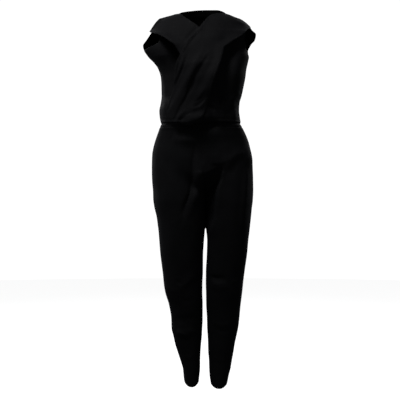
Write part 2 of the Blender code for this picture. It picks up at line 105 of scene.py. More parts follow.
RINGS = sections("""
bodice
height right left front back side_y
-398 -149 140 -92 77 -6
-388 -153 142 -114 88 -6
-374 -156 140 -121 91 -6
-348 -158 137 -122 92 -6
-322 -153 138 -124 92 -6
-292 -149 146 -129 94 -6
-259 -149 153 -135 97 -6
-226 -151 160 -139 101 -5
-192 -162 165 -136 104 -2
-170 -177 170 -129 106 0
-148 -198 174 -121 107 2
-126 -214 172 -113 106 4
-104 -221 182 -104 104 6
-81 -208 197 -94 101 8
-62 -195 199 -85 98 9
-48 -187 187 -78 95 10
-26 -173 172 -65 89 12
-11 -160 155 -54 83 12
0 -136 128 -43 78 12
7 -111 108 -34 73 12
12 -92 92 -26 69 12
22 -78 82 -18 66 14
29 -64 77 -12 64 16
36 -50 72 -5 62 18
hip
height right left centre front back side_y
-398 -149 140 -4 -92 77 -6
-411 -155 148 -3 -93 79 -6
-440 -166 162 -2 -100 87 -5
-463 -174 171 -1 -103 93 -4
-485 -180 177 0 -105 100 -3
-507 -184 183 1 -106 107 -1
-529 -185 187 2 -107 114 1
-562 -187 188 3 -107 122 4
-596 -186 189 5 -105 125 7
-640 -182 189 8 -101 121 10
-685 -178 187 11 -98 112 11
-740 -168 181 13 -96 99 8
leg
height right_out right_in left_in left_out front back seam_y
-400 -149 -4 -4 140 -92 77 -6
-463 -174 -1 -1 171 -103 93 -4
-529 -185 2 2 187 -107 114 1
-596 -186 5 5 189 -105 125 7
-640 -182 8 8 189 -101 121 10
-665 -180.5 9.5 9.5 188 -99 117 11
-672 -180 9.8 9.8 187.7 -98.7 115 11
-686 -178.2 9.8 11.4 187 -98 112 11
-707 -174.5 10.3 13 184.5 -97 106 10
-740 -167.5 10.8 14 181.5 -96 98 8
-781 -163 10.8 15 177 -94 88 4
-825 -158.5 7.5 19 171.5 -91 80 0
-884 -152.5 4 17.5 166 -85 71 -4
-943 -145.5 3.5 14.2 157 -79 63 -6
-985 -141 1.5 14 151 -75 60 -6
-1020 -134 1.2 15 147.5 -71 61 -4
-1062 -122 2.6 15.5 143 -64 67 1
-1121 -113.5 2.5 18.5 137 -55 74 7
-1151 -112 1 19 133 -51 74 9
-1180 -105 -0.5 21 127.5 -48 72 10
-1210 -99 -3.3 22.2 122 -46 69 10
-1240 -90 -5.5 23 117.5 -44 64 9
-1269 -80.5 -6.6 25.5 111.5 -42 60 8
-1299 -70.5 -7 26.4 105.5 -41 55 7
-1328 -66.5 -9.8 28.3 97.5 -40 52 6
-1352 -64 -12 32 93 -40 51 6
-1375 -62 -13 34 91 -40 51 6
""")

# Inner x, inner height, outer x and outer height of each front piece, from the shoulder seam down
PATCHES = sections("""
wrap_over
130 10 170 -6
80 9.5 175 -13
58 7 180 -22
37 2 180 -32
22 -10 162 -56
8 -28 146 -76
-7 -51 124 -92
-33 -85 98 -112
-54 -114 80 -127
-74 -147 73 -152
-91 -190 64 -185
-96 -228 51 -222
-99 -272 36 -268
-112 -314 24 -312
-125 -348 14 -348
-130 -374 4 -374
-131 -388 0 -388
-131 -396.5 0 -396.5
wrap_under
-130 10 -180 -8
-88 9 -185 -20
-74 3 -190 -34
-58 -12 -195 -52
-33 -32 -161 -76
-7 -51 -122 -102
20 -82 -95 -126
44 -120 -80 -150
55 -165 -68 -190
52 -215 -58 -236
46 -262 -46 -280
54 -308 -32 -318
76 -348 -18 -348
95 -374 -10 -374
100 -388 -8 -388
102 -396.5 -7 -396.5
bodice_front_right
-130 10 -180 -8
-100 6 -172 -22
-94 -6 -162 -40
-86 -28 -153 -62
-78 -54 -151 -84
-70 -84 -158 -102
-64 -108 -176 -113
-58 -128 -202 -123
-56 -146 -240 -133
-54 -172 -240 -164
-52 -204 -240 -200
-50 -240 -240 -238
-50 -276 -240 -276
-50 -314 -240 -314
-50 -348 -240 -348
-50 -374 -240 -374
-50 -388 -240 -388
-50 -398 -240 -398
bodice_front_left
130 10 170 -6
104 5 166 -20
94 -8 161 -38
80 -32 157 -60
62 -60 156 -84
46 -88 158 -108
34 -114 163 -128
26 -136 171 -143
20 -158 230 -154
12 -184 230 -180
4 -212 230 -210
-4 -244 230 -243
-10 -276 230 -276
-14 -314 230 -314
-18 -348 230 -348
-20 -374 230 -374
-20 -388 230 -388
-20 -398 230 -398
""")

# Outer turn, outer height and height at centre back of each back piece, from the top edge down
BACKS = sections("""
bodice_back_right
90 -8 36
92 -16 30
94 -32 14
96 -56 -12
97 -84 -46
96 -108 -82
94 -123 -112
90 -133 -138
90 -164 -168
90 -200 -202
90 -238 -238
90 -276 -276
90 -314 -314
90 -348 -348
90 -374 -374
90 -388 -388
90 -398 -398
bodice_back_left
90 -6 36
92 -14 30
94 -30 14
96 -56 -12
97 -86 -46
96 -114 -82
94 -138 -112
90 -154 -138
90 -180 -168
90 -210 -202
90 -243 -238
90 -276 -276
90 -314 -314
90 -348 -348
90 -374 -374
90 -388 -388
90 -398 -398
""")

# Turn and height of the back neck's edge, which takes up this share of the top edge
BACK_NECK_SHARE = 0.6
BACK_NECK = sections("""
right
90 11
98 17.6
112 24.4
135 30.5
160 34.6
180 36
left
90 11
98 19
112 28
135 34
160 35.6
180 36
""")

# The solids' own folds: curves through three places seen from the front, how far out and how wide.
FOLD_ENDS = 0.22
SIDE_FADE = 10
CENTRE_BACK_FADE = 8
TROUSER_FADE = 0.1
Fold = namedtuple("Fold", "path out width")
FOLDS = read_paths(
    """
wrap_over
10 -128, -58 -255, -118 -382: 6 13
24 -160, -44 -275, -104 -376: -1.5 11
42 -190, 0 -290, -62 -384: 4.5 15
-70 -150, -88 -220, -112 -330: 0.8 11
front
-180 -140, -140 -220, -124 -330: 1 14
150 -165, 112 -240, 92 -330: 0.5 14
104 -290, 112 -345, 116 -394: 3.5 13
bodice_back_right
-150 -150, -112 -230, -96 -330: 3 14
-70 -290, -76 -345, -80 -394: 4 12
-26 -320, -30 -360, -32 -394: 3.5 10
bodice_back_left
146 -165, 106 -240, 92 -330: 3 14
60 -300, 68 -350, 72 -394: 4 12
110 -310, 116 -355, 118 -394: 3.5 10
trouser_front_right
-6 -500, -14 -595, -38 -690: 4 16
-30 -470, -44 -610, -72 -760: -3 12
-24 -930, -66 -985, -84 -1000: 2.5 16
-20 -1150, -60 -1162, -96 -1160: 4 14
-24 -1100, -62 -1112, -104 -1106: -2 13
trouser_front_left
74 -560, 56 -640, 40 -735: 4 15
82 -575, 116 -520, 160 -506: 3.5 17
92 -600, 126 -545, 166 -530: -1.4 16
166 -550, 156 -680, 146 -810: 3 15
26 -958, 62 -966, 92 -962: -2.5 13
28 -985, 64 -994, 100 -986: 2.5 15
trouser_back_right
-20 -640, -72 -690, -130 -700: -3.5 16
-24 -680, -70 -728, -126 -744: 3 17
-16 -955, -60 -975, -116 -958: -3 14
-14 -992, -62 -1004, -110 -988: 3 15
trouser_back_left
36 -640, 88 -688, 142 -704: -3.5 16
38 -684, 84 -730, 138 -742: 3 17
34 -950, 78 -972, 128 -962: -3 14
36 -990, 80 -1006, 124 -992: 3 15
""",
    Fold,
)

# Finer creases: a path seen from the front, how far out, how wide the flank on its left is as it runs
# down, and the width of the other flank where that differs. Those across the seams are the line below
# the waist and two ridges at the crotch, and the hollows are those of the side fronts, beside the bands.
CREASE_ENDS = 0.08
CREASE_FULLNESS = 0.7
CREASE_STEPS = 10  # points on a path for each of its places
Crease = namedtuple("Crease", "path out width other", defaults=(None,))
CREASES = read_paths(
    """
wrap_over
24 -140, 2 -180, -27 -220, -46 -260, -62 -306, -82 -342, -98 -374, -108 -394: 4.5 13 5
22 -150, 8 -180, -22 -220, -38 -260, -54 -300, -76 -340, -93 -372: -2.6 5 10
-46 -144, -58 -180, -74 -220, -94 -262, -114 -300: -2.2 6 5
-64 -148, -69 -185, -84 -228, -98 -262: 2.4 5
-70 -132, -77 -170, -86 -210: -2 5 4
-102 -394, -86 -384, -72 -368, -54 -352: 3 5 6
-86 -396, -75 -387, -60 -376, -34 -360: -3 5
-86 -402, -60 -396, -38 -390, -14 -381, 12 -366: 12 6 17
14 -286, 4 -300, -6 -314, -28 -326: -1.8 5
20 -306, 8 -326, -10 -344, -40 -354: 4.5 5 11
-8 -60, -24 -84, -42 -108, -56 -128: -2.2 6 10
34 -128, 14 -176, -8 -222: 1.5 10 16
44 -160, 26 -206, 4 -250: -1.3 9
-22 -250, -36 -268, -42 -290: -1 6
-110 -330, -124 -356, -128 -386: -1.6 5
60 -40, 40 -80, 20 -130: 1.2 20 30
wrap_under
4 -26, -20 -56, -46 -86, -72 -116: -3.2 8 7
-100 0, -92 -40, -84 -90: 2 34
-152 -50, -112 -66, -66 -78: 1.4 16
-122 -86, -92 -96, -58 -104: -1 12
22 -330, 34 -346, 46 -358: -3.4 5 7
20 -312, 44 -334, 72 -350: 1.8 8
60 -352, 72 -372, 74 -392: 1.6 7
30 -366, 36 -382, 36 -394: -1.6 6
bodice_front_right
-146 -330, -132 -352, -124 -384: 2.2 7
-138 -300, -124 -330, -114 -352: -1.6 7
-134 -360, -116 -376, -108 -392: -1.8 6
bodice_front_left
138 -280, 112 -310, 84 -336: 2 9
130 -316, 112 -344, 92 -366: -2 8
126 -346, 118 -370, 116 -394: 1.8 7
84 -350, 88 -374, 88 -394: -1.6 6
bodice_back_right
-188 -118, -150 -150, -112 -196, -84 -252: 2.2 10 14
-184 -150, -148 -196, -124 -262: -2.2 11
-24 -60, -60 -120, -78 -200: 1.2 22
-116 -256, -106 -320, -100 -392: 2 8 11
-50 -270, -56 -330, -58 -394: -1.8 8 12
-118 -330, -124 -364, -120 -394: -1.8 7
-16 -280, -14 -340, -16 -394: 1.6 8
bodice_back_left
172 -26, 197 -58, 184 -94: 6 12
176 -140, 140 -168, 100 -214, 76 -264: 2.2 10 14
168 -176, 134 -220, 112 -284: -2.2 11
36 -58, 66 -124, 80 -196: 1.2 22
88 -244, 92 -310, 96 -392: 2 11 8
34 -284, 44 -340, 46 -394: -2.2 10 8
100 -330, 106 -364, 104 -394: -1.8 7
18 -290, 20 -344, 18 -394: 1.4 8
trouser_front_right
-24 -456, -28 -500, -35 -545, -37 -600, -42 -645, -50 -672, -60 -700, -66 -735, -90 -800: -4 5 6
-38 -600, -40 -640, -50 -668, -64 -700, -74 -740: -5.5 5 5
-6 -512, -13 -570, -18 -626, -28 -672, -44 -720: 2.6 9 6
-112 -456, -60 -462, 0 -468: 6 18 14
-166 -500, -160 -600, -152 -700: 1.4 12
-128 -520, -120 -620, -112 -730: -1.4 16
-96 -968, -82 -978, -68 -982: -1.8 8
-20 -952, -46 -972, -70 -992: 1.6 10
-138 -992, -110 -1006, -84 -1008: 1.6 9
-94 -1152, -70 -1166, -40 -1176: 2.2 8 5
-92 -1170, -66 -1184, -38 -1190: -2 7
-100 -1108, -74 -1124, -40 -1130: -1.4 9
-86 -1030, -58 -1044, -24 -1042: -1.2 9
-26 -1240, -46 -1254, -66 -1252: 1.2 8
trouser_front_left
72 -560, 60 -610, 50 -677, 39 -735: 2.4 7 10
82 -560, 100 -532, 122 -510, 158 -504: 0.8 8 6
165 -558, 154 -663, 144 -807: 1.8 8
148 -580, 136 -690, 128 -800: -1.4 10
12 -504, 42 -516, 72 -512: 1.8 16
28 -540, 62 -544, 100 -526: 4 7 24
24 -954, 50 -960, 80 -958: -2.4 6
26 -974, 56 -982, 90 -976: 1.8 8
150 -962, 124 -974, 104 -976: 1.6 9
40 -1120, 70 -1134, 108 -1128: 1.5 9
40 -1142, 72 -1156, 110 -1152: -1.5 8
44 -1250, 66 -1264, 88 -1262: 1.2 8
trouser_back_right
-16 -632, -60 -676, -120 -690: -2.6 8 12
-34 -676, -70 -716, -104 -722: 1.6 9
-58 -742, -92 -764, -138 -772: -1.8 10
-150 -640, -124 -692, -104 -760: 1.6 11
-60 -470, -66 -520, -62 -570: 1.2 14
-16 -930, -44 -942, -78 -938: 2.4 8
-14 -954, -58 -972, -112 -960: -2.4 7
-40 -984, -76 -998, -118 -982: 2 8
-120 -1000, -90 -1016, -56 -1018: -1.6 8
-24 -1180, -58 -1192, -92 -1186: 1.6 9
-20 -1230, -46 -1242, -70 -1238: -1.4 8
trouser_back_left
30 -634, 76 -676, 134 -694: -2.6 8 12
60 -690, 98 -722, 146 -730: 2.2 9
38 -716, 66 -742, 98 -756: -1.6 9
158 -640, 134 -692, 114 -756: 1.6 11
74 -468, 80 -520, 76 -572: 1.2 14
72 -932, 100 -938, 132 -926: 1.8 8
36 -950, 78 -970, 128 -962: -2.4 7
34 -976, 60 -990, 96 -988: 2.6 8
134 -1000, 104 -1014, 72 -1018: -1.6 8
42 -1178, 76 -1190, 108 -1186: 1.6 9
44 -1232, 64 -1244, 86 -1240: -1.4 8
across_seams
-132 -399, -92 -403, -44 -411: 4.5 3
4 -520, -3 -580, -4 -610, -5 -640, -13 -664, -28 -692, -48 -750: 6 16 10
-5 -566, -6 -600, -8 -630, -16 -664, -26 -700: 6.5 17 8
hollow_right
-80 -4, -88 -60, -92 -104, -82 -150, -84 -200, -88 -270, -104 -340: -56 52 30
hollow_left
110 -30, 100 -80, 92 -140, 78 -210, 62 -280, 46 -340: -28 28 36
""",
    Crease,
)

# Deep hollows and swells, which move the cloth straight back or forward and cross the seams: the hollow
# between the thighs, how far the waist comes forward to meet the blouse at either side of a deep tuck,
# and how far the blouse hangs out over the waist.
MOVES = sections("""
crotch
height middle left_half right_half deep
-553 64 8 8 0
-566 60 14 14 8
-580 46 28 24 17
-600 38 30 30 24
-648 28 28 27 30
-695 26 27 26 30
-740 23 22 22 24
-790 17 12 14 4
-820 16 10 10 0
tuck
height right middle left
-372 0 0 0
-384 2 0 2
-394 15 2 14
-400 20 5 18
-412 18 8 16
-428 10 11 10
-442 5 9 6
-458 1.5 5 2
-476 0 1 0
-490 0 0 0
blouse
height forward
-190 0
-226 -3
-258 -3
-300 2
-340 5
-372 9
-384 14
-391 15
-397 3
-400 0
""")
IN_FRONT = (30, -30)  # from this y to this one they come to act
HOLLOW_REACH = 1.25  # the crotch hollow is this much wider than its half widths
HOLLOW_WALL = 2.2  # how much steeper the crotch hollow's left wall is than its right one
TUCK_RIGHT = (-54, -86)
TUCK_LEFT = (36, 72)
BLOUSE_LOWER = 8  # the blouse hangs this much lower on the right,
BLOUSE_LOWER_FROM = (-38, -58)  # which it comes to between these x
BLOUSE_IN_FRONT = (-40, -90)
BLOUSE_RIGHT = (-84, -116)  # it goes down to nothing between these x
BLOUSE_LEFT = (0, 34)
THIGHS_MEET = (-540, -600)  # the inner thighs come together between these heights,
THIGHS_PART = (-788, -776)  # and come apart between these
THIGHS_OVERLAP = 0.8  # how far past the middle each goes
HOLLOW_FADE = 26  # a side front's hollow goes down to nothing this near the seams

# How far a free edge stands forward, or back where it is below 0, how far in from the edge that reaches,
# and between which heights
Standing = namedtuple("Standing", "edge forward reach top bottom")
STANDING_FADE = 60
SHOULDER_CAP = Standing("right", -22, 50, 40, -70)
STANDING_EDGES = {
    "bodice_front_left": (SHOULDER_CAP._replace(forward=-20),),
    "wrap_under": (Standing("left", 20, 24, 40, -150),),
    "wrap_over": (
        Standing("left", 2.5, 10, -20, -240),
        Standing("right", 12, 24, -50, -330),
        SHOULDER_CAP,
    ),
}

# Where and how much a band comes closer to what lies under it
LIES_FLAT = (0.25, 0.75)  # on the shoulders, as the form comes to face upward this much,
FLAT_CLOSER = 0.8
SEWN_CLOSER = 0.7  # at the waist seam,
SEWN_DEEP = 14
ALONE = (50, 90)  # and past these x, where no other band lies under it
ALONE_CLOSER = 0.5
WAIST_FADE = (-2, 8)  # folds and creases come up over this distance from the waist seam

# The cloth's own unevenness: how long its waves are, and how high
PATCH_WAVES = (120, 260)
BROAD_WAVES = (70, 150)
BROAD_HIGH = 1.1
FINE_WAVES = (22, 46)
FINE_HIGH = 0.35
EVEN_AT_SEAM = 14  # it comes up over this distance from a seam
GATHER_WAVES = (9, 22)
GATHER_HIGH = 0.5
GATHER_FADE = 4

# A turned edge or hem: how deep and thick, how softly it ends, and how its rim is rounded
Turned = namedtuple("Turned", "deep thick soft rim_down rim_wide")
TURNED = {"turned": Turned(8, 0.55, 1.6, 0.45, 1.0), "hem": Turned(24, 0.5, 2.2, 0.45, 1.2)}
# A seam's groove and the ridge of its allowance: how far out, how far in from the edge and how wide
SEAM_PROFILE = ((-0.7, 0, 1.5), (0.25, 5, 3.5))

SEWN_ROUND = dict.fromkeys(("left", "right", "top", "bottom"), "seam")

# How many points a shell has across
FRONT_COLUMNS = 60
BACK_COLUMNS = 70
BAND_COLUMNS = {"wrap_under": 70, "wrap_over": 80}
CASING_COLUMNS = 280
CASING_ROWS = 9
TROUSER_COLUMNS = 66

TROUSERS = tuple(f"trouser_{face}_{side}" for side in SIDES for face in FACES)
# Each mesh of stitches: the piece that it goes with, the pieces and edges that it is sewn along,
# how far in from the edge, from stitch to stitch, and a stitch's length
Sewing = namedtuple("Sewing", "name goes_with pieces edges inset pitch length")
SEWING = (
    Sewing("stitches_bands", "wrap_over", ("wrap_under", "wrap_over"), ("left", "right"), 7.2, 3.2, 2.3),
    Sewing("stitches_back_neck", "bodice_back_right", tuple(BACKS), ("top",), 7.2, 3.2, 2.3),
    Sewing("stitches_waist", "waist_casing", ("waist_casing",), ("top", "bottom"), 2.0, 3.2, 2.3),
    Sewing("stitches_hems", "trouser_front_right", TROUSERS, ("bottom",), 22.5, 6.5, 1.2),
)
THREAD = 0.42  # a thread's width
THREAD_PROFILE = ((0, -0.3, 0.35), (0.2, 0.5, 1), (0.8, 0.5, 1), (1, -0.3, 0.35))  # along, up, how wide
THREAD_RING = ((1, 0), (0.5, 0.8), (-0.5, 0.8), (-1, 0), (0, -0.8))  # to the side, up

CAMERA_AWAY = 4.0
VIEW_SIDE = 1.48  # what the square view takes in at the garment, in metres
VIEW_MIDDLE = (-0.0074, -0.6771)
FLOOR_HEIGHT = -1.47
FLOOR_RADIUS = 7
AMBIENT = 0.03
# Name, place, aimed at, width across, power
LIGHTS = (
    ("key", (-0.62, -0.86, 1.3), (0, 0, -0.4), 0.7, 9.6),
    ("side_left", (-2.2, 0.25, -0.3), (0, 0, -0.5), 1.0, 2),
    ("front_fill", (1.0, -3.4, -0.3), (0, 0, -0.7), 1.6, 1.6),
    ("back_left", (-1.9, 2.3, 1.2), (0, 0, -0.6), 1.2, 24),
    ("back_right", (1.9, 2.3, 1.2), (0, 0, -0.6), 1.2, 18),
)


# ---- curves, as in the solids ----


def smooth(knots, values, at):
    """A curve through the knots that never swings past them, read at `at`; its ends run on straight."""
    step = np.diff(knots)
    slope = np.diff(values) / step
    before, after = slope[:-1], slope[1:]
    mean = np.zeros_like(before)
    np.divide(2 * before * after, before + after, out=mean, where=before * after > 0)
    tangent = np.concatenate([slope[:1], mean, slope[-1:]])
    at = np.asarray(at, float)
    i = np.clip(np.searchsorted(knots, at) - 1, 0, len(step) - 1)
    t = (at - knots[i]) / step[i]
    inside = np.clip(t, 0, 1)
    bend = (
        (1 + 2 * inside) * (1 - inside) ** 2 * values[i]
        + inside * (1 - inside) ** 2 * step[i] * tangent[i]
        + inside**2 * (3 - 2 * inside) * values[i + 1]
        - inside**2 * (1 - inside) * step[i] * tangent[i + 1]
    )
    past = (t - inside) * step[i]
    return bend + past * np.where(t < 0, tangent[i], tangent[i + 1])


class Table:
    """Rows under a line of names, joined by smooth curves. read(height) gives every column, in metres."""

    def __init__(self, lines):
        rows = numbers(lines[1:]) * MM
        rows = rows[rows[:, 0].argsort()]
        self.heights = rows[:, 0]
        self.columns = rows[:, 1:].T
        self.ring = namedtuple("Ring", lines[0].split()[1:])

    def read(self, height):
        return self.ring(*(smooth(self.heights, column, height) for column in self.columns))

    def read_within(self, height):
        """The same, but past the first and last row the values stay as they are there."""
        return self.read(np.clip(height, self.heights[0], self.heights[-1]))


def ease(x, start=0, full=1):
    """0 as far as start, 1 from full on, smooth between. Full may lie below start."""
    x = np.clip((x - start) / (full - start), 0, 1)
    return x * x * (3 - 2 * x)


def mix(a, b, share):
    return a + (b - a) * share


def bell(x):
    return np.exp(-(x**2))


def rounded(x, roundness=ROUNDNESS):
    return np.sign(x) * np.abs(x) ** (2 / roundness)


def unit(way):
    return way / np.linalg.norm(way, axis=-1, keepdims=True)


def step_lengths(points, axis):
    return np.linalg.norm(np.diff(points, axis=axis), axis=-1)


def run_lengths(points):
    """How far along a row of points each of them is."""
    return np.concatenate([[0], np.cumsum(step_lengths(points, 0))])


BODICE, HIP, LEG = (Table(RINGS[name]) for name in ("bodice", "hip", "leg"))
CROTCH_HOLLOW, TUCK, BLOUSE = (Table(MOVES[name]) for name in ("crotch", "tuck", "blouse"))


# ---- the two forms, as in the solids ----


def outward(side):
    return -1 if side == "right" else 1


def middle_and_half(ring):
    return (ring.left + ring.right) / 2, (ring.left - ring.right) / 2


def ring_point(ring, turn, height):
    """A point of a ring. turn goes from 0, front, by 90, the wearer's left, to 180, back."""
    middle, half = middle_and_half(ring)
    across = rounded(np.sin(np.radians(turn)))
    forward = rounded(np.cos(np.radians(turn)))
    deep = np.where(forward > 0, ring.side_y - ring.front, ring.back - ring.side_y)
    return np.stack([middle + half * across, ring.side_y - deep * forward, height], axis=-1)


def bodice_form(turn, height):
    return ring_point(BODICE.read(height), turn, height)


def casing_form(turn, height):
    return ring_point(HIP.read(height), turn, height)


def bodice_turn(x, height):
    """The turn on the front of the bodice form whose point has this x, or a side where it has none."""
    middle, half = middle_and_half(BODICE.read(height))
    share = np.clip((x - middle) / half, -1, 1)
    return np.degrees(np.arcsin(np.sign(share) * np.abs(share) ** (ROUNDNESS / 2)))


def end_share(height, face):
    """How far the inner edge of a trouser piece has come from the hip's surface, 0, to the inseam, 1."""
    above = np.clip((height / MM - CROTCH) / RISE[face], 0, 1)
    return (1 - above) ** RISE_BEND


def trouser_form(side, face, share, height):
    """A point of the trouser form. share goes from 0, the outseam, to 1, the centre seam or inseam."""
    hip, leg = HIP.read(height), LEG.read(height)
    from_centre = np.radians(90 * (1 - share))
    hip_wide, hip_deep = getattr(hip, side) - hip.centre, getattr(hip, face) - hip.side_y
    hip_x = hip.centre + hip_wide * rounded(np.sin(from_centre))
    hip_y = hip.side_y + hip_deep * rounded(np.cos(from_centre))

    round_leg = np.radians(180 * share)
    flat = 1 - ease(height / MM, CROTCH, CROTCH - INNER_THIGH_DEEP)
    roundness = np.where(share > 0.5, mix(ROUNDNESS, INNER_THIGH_ROUNDNESS, flat), ROUNDNESS)
    leg_out, leg_in = getattr(leg, side + "_out"), getattr(leg, side + "_in")
    leg_x = (leg_out + leg_in) / 2 + (leg_out - leg_in) / 2 * rounded(np.cos(round_leg), roundness)
    leg_y = leg.seam_y + (getattr(leg, face) - leg.seam_y) * rounded(np.sin(round_leg), roundness)

    body = ease(height / MM, *LEGS_PART)
    blend = mix(body, end_share(height, face), ease(share, 0.5, 1))
    return np.stack([mix(hip_x, leg_x, blend), mix(hip_y, leg_y, blend), height], axis=-1)


def outward_normal(form, across, height):
    """The form's normal at each point. Across has to grow anticlockwise, seen from above."""
    nudge, rise = np.ptp(across) / 500, 0.5 * MM
    along = form(across + nudge, height) - form(across - nudge, height)
    up = form(across, height + rise) - form(across, height - rise)
    return unit(np.cross(along, up))


# ---- folds and creases ----


def nearest_on(curve, place):
    """Each place's distance from the curve, how far along it that is, from 0 to 1, and on which side.

    The side is below 0 on the left of a curve that runs down.
    """
    run = np.diff(curve, axis=0)
    offset = place[..., None, :] - curve[:-1]
    share = np.clip((offset * run).sum(axis=-1) / (run**2).sum(axis=-1), 0, 1)
    toward = offset - share[..., None] * run
    apart = np.linalg.norm(toward, axis=-1)
    side = run[:, 0] * toward[..., 1] - run[:, 1] * toward[..., 0]
    along = (np.arange(len(run)) + share) / len(run)
    nearest = apart.argmin(axis=-1)[..., None]
    return [np.take_along_axis(values, nearest, axis=-1)[..., 0] for values in (apart, along, side)]


def fold_height(folds, points):
    """How far the solids' folds raise or sink each point, from its place seen from the front."""
    place = points[..., [0, 2]] / MM
    total = np.zeros(place.shape[:-1])
    t = np.linspace(0, 1, 33)[:, None]
    for fold in folds:
        start, middle, end = fold.path
        pull = 2 * middle - (start + end) / 2
        curve = (1 - t) ** 2 * start + 2 * t * (1 - t) * pull + t**2 * end
        apart, along, _ = nearest_on(curve, place)
        fade = ease(np.minimum(along, 1 - along), 0, FOLD_ENDS)
        total += fold.out * fade * bell(apart / fold.width)
    return total * MM


def crease_height(creases, points):
    """The same for the finer creases, whose two flanks may be of different widths."""
    place = points[..., [0, 2]] / MM
    total = np.zeros(place.shape[:-1])
    for crease in creases:
        last = len(crease.path) - 1
        at = np.linspace(0, last, CREASE_STEPS * last + 1)
        curve = np.stack([smooth(np.arange(last + 1), part, at) for part in crease.path.T], axis=-1)
        other = crease.other or crease.width
        reach = 3 * max(crease.width, other)
        low, high = curve.min(axis=0) - reach, curve.max(axis=0) + reach
        near = np.all((place > low) & (place < high), axis=-1)
        if not near.any():
            continue
        apart, along, side = nearest_on(curve, place[near])
        width = np.where(side < 0, crease.width, other)
        ends = ease(np.minimum(along, 1 - along), 0, CREASE_ENDS)
        fade = np.sin(np.pi * np.clip(along, 0, 1)) ** CREASE_FULLNESS * ends
        total[near] += crease.out * fade * bell(apart / width)
    return total * MM


def waves(points, lengths, seed, count=14):
    """An even-handed unevenness, between about -1 and 1, that runs on across the seams."""
    chance = np.random.default_rng(seed)
    total = np.zeros(points.shape[:-1])
    for _ in range(count):
        way = chance.normal(size=3)
        way *= 2 * np.pi / (np.linalg.norm(way) * chance.uniform(*lengths) * MM)
        total += np.sin(points @ way + chance.uniform(0, 2 * np.pi))
    return total / np.sqrt(count / 2) / 2


def unevenness(points):
    """The cloth's own soft waviness, stronger in some places than in others."""
    where = ease(0.5 + 0.6 * waves(points, PATCH_WAVES, seed=5))
    broad = waves(points, BROAD_WAVES, seed=1)
    fine = waves(points * (1, 1, 0.6), FINE_WAVES, seed=2)
    return (BROAD_HIGH * broad + FINE_HIGH * fine * where) * MM


def straight_back(points):
    """How far the hollows and swells move each point back, which is the same on both sides of a seam."""
    x, y, height = (points[..., k] for k in range(3))
    hollow = CROTCH_HOLLOW.read_within(height)
    from_middle = x - hollow.middle
    half = np.where(from_middle < 0, hollow.left_half, hollow.right_half)
    steepness = np.where(from_middle < 0, 1, HOLLOW_WALL)
    total = hollow.deep * ease(steepness * (1 - np.abs(from_middle) / (HOLLOW_REACH * half)))

    right, left = ease(x / MM, *TUCK_RIGHT), ease(x / MM, *TUCK_LEFT)
    tuck = TUCK.read_within(height)
    total -= tuck.right * right + tuck.left * left + tuck.middle * (1 - right - left)
    total -= crease_height(CREASES["across_seams"], points)

    lower = height + BLOUSE_LOWER * MM * ease(x / MM, *BLOUSE_LOWER_FROM)
    blouse = BLOUSE.read_within(lower).forward * ease(y / MM, *BLOUSE_IN_FRONT)
    total -= blouse * (1 - ease(x / MM, *BLOUSE_RIGHT) - ease(x / MM, *BLOUSE_LEFT))
    return total * ease(y / MM, *IN_FRONT)


def stand_forward(node, points, distances):
    """How far the free edges of a piece stand forward."""
    height = points[..., 2] / MM
    total = 0
    for edge in STANDING_EDGES.get(node, ()):
        near = bell(distances[edge.edge] / MM / edge.reach)
        below = ease(height, edge.top, edge.top - STANDING_FADE)
        above = ease(height, edge.bottom, edge.bottom + STANDING_FADE)
        total = total + edge.forward * MM * near * below * above
    return total


# ---- shells ----

# The inside material goes on the inner skins; its darker colour is a painted shade for the garment's
# insides.
Shared = namedtuple("Shared", "cloth inside thread")
Shell = namedtuple("Shell", "node piece outer normal distances area")


def run_out(skin, closed):
    """The skin with its edges moved out past the seam lines, so that no light shows through a seam."""

    def past(edge, beside):
        return edge + SEAM_BITE * unit(edge - beside)

    skin = skin.copy()
    skin[0], skin[-1] = past(skin[0], skin[1]), past(skin[-1], skin[-2])
    if not closed:
        skin[:, 0] = past(skin[:, 0], skin[:, 1])
        skin[:, -1] = past(skin[:, -1], skin[:, -2])
    return skin


def grid_quads(rows, columns, closed):
    """The quads of a grid of points. The last column of a closed one is joined to its first."""
    spans = columns if closed else columns - 1
    row, column = np.meshgrid(np.arange(rows - 1) * columns, np.arange(spans), indexing="ij")
    after = (column + 1) % columns
    corners = [row + column, row + after, row + columns + after, row + columns + column]
    return np.stack(corners, axis=-1).reshape(-1, 4)


def wall_faces(rows, columns, closed):
    """The quads of a thin shell: its outer skin, its inner skin and the edges between them."""
    behind = rows * columns
    quads = grid_quads(rows, columns, closed)
    skins = [quads[:, [0, 3, 2, 1]], quads + behind]

    def edge(i, j):
        skins.append(np.stack([i, j, j + behind, i + behind], axis=-1))

    i = np.arange(columns if closed else columns - 1)
    j = (i + 1) % columns
    last, end = (rows - 1) * columns, columns - 1
    edge(i, j)
    edge(last + j, last + i)
    if not closed:
        top, low = np.arange(rows - 1) * columns, np.arange(1, rows) * columns
        edge(low, top)
        edge(top + end, low + end)
    return np.concatenate(skins)


def edge_distances(points):
    """How far every point is from the grid's four edges, along the grid: left, right, top, bottom."""
    left = np.pad(np.cumsum(step_lengths(points, 1), axis=1), ((0, 0), (1, 0)))
    top = np.pad(np.cumsum(step_lengths(points, 0), axis=0), ((1, 0), (0, 0)))
    return {"left": left, "right": left[:, -1:] - left, "top": top, "bottom": top[-1:] - top}


def from_ends(distances):
    return np.minimum(distances["top"], distances["bottom"])


def finish_edges(distances, edges):
    """What the finished edges raise or sink: a turned edge is thicker, and a seam lies in a groove."""
    total = 0
    for name, kind in edges.items():
        inset = distances[name] / MM
        if kind == "seam":
            for out, place, wide in SEAM_PROFILE:
                total = total + out * bell((inset - place) / wide)
        else:
            finish = TURNED[kind]
            total = total + finish.thick * ease(inset, finish.deep, finish.deep - finish.soft)
            total = total - finish.rim_down * bell(inset / finish.rim_wide)
    return total * MM


def add_object(name, data):
    placed = bpy.data.objects.new(name, data)
    bpy.context.scene.collection.objects.link(placed)
    return placed


